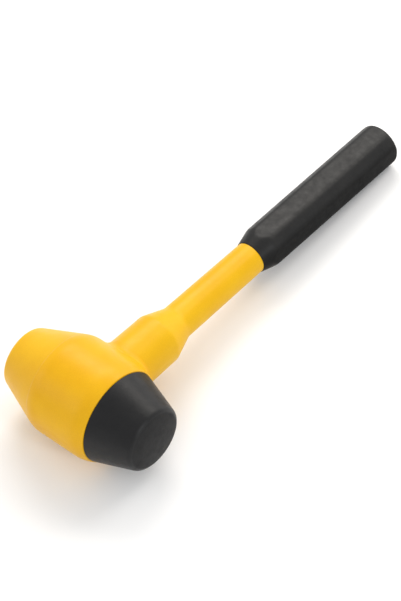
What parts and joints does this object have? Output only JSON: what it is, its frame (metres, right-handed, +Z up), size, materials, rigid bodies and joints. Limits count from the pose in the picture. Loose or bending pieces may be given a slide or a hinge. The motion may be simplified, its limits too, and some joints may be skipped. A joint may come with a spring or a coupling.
{
  "type": "soft face hammer",
  "caption": "Soft face hammer with a round head, a screw-in soft face and hard face on opposite ends, a fibreglass-cored handle with collar, and an octagonal rubber grip.",
  "frame": {"origin": "centre of the bounding box in plan, on the floor the hammer lies on", "axes": "+X along the head axis towards the soft face, +Y along the handle from head to grip in plan, +Z up; the handle dips towards the grip so head and butt both touch the floor"},
  "size_m": [0.1114, 0.3192, 0.069],
  "materials": {
    "shell": "satin moulded yellow polyurethane",
    "core": "turned, lightly oiled",
    "soft_face": "satin black",
    "hard_face": "satin moulded yellow nylon",
    "stud": "rolled thread, zinc plated",
    "washer": "zinc plated",
    "rod": "pultruded fibreglass",
    "sleeve": "satin moulded yellow polyurethane",
    "pin": "black oxide spring steel",
    "grip": "matt black, fine grain"
  },
  "bodies": {
    "hammer": {"head_shell": "shell", "head_core": "core", "handle_rod": "rod", "handle_sleeve": "sleeve", "handle_pin": "pin", "grip": "grip"},
    "soft_washer": {"soft_face_washer": "washer"},
    "soft_tip": {"soft_face": "soft_face", "soft_face_stud": "stud"},
    "hard_washer": {"hard_face_washer": "washer"},
    "hard_tip": {"hard_face": "hard_face", "hard_face_stud": "stud"}
  },
  "joints": [
    {"name": "soft_washer_slide", "type": "slide", "parent": "hammer", "child": "soft_washer", "axis": [1, 0, 0], "range_m": [0, 0.012]},
    {"name": "soft_face_turn", "type": "hinge", "parent": "soft_washer", "child": "soft_tip", "pos_m": [0.0004, -0.12509, 0.0345], "axis": [1, 0, 0], "range_deg": [0, 1440]},
    {"name": "hard_washer_slide", "type": "slide", "parent": "hammer", "child": "hard_washer", "axis": [-1, 0, 0], "range_m": [0, 0.012]},
    {"name": "hard_face_turn", "type": "hinge", "parent": "hard_washer", "child": "hard_tip", "pos_m": [0.0004, -0.12509, 0.0345], "axis": [-1, 0, 0], "range_deg": [0, 1440]}
  ],
  "couplings": [
    {"joint": "soft_washer_slide", "follows": "soft_face_turn", "m_per_rad": 0.00047746},
    {"joint": "hard_washer_slide", "follows": "hard_face_turn", "m_per_rad": 0.00047746}
  ]
}
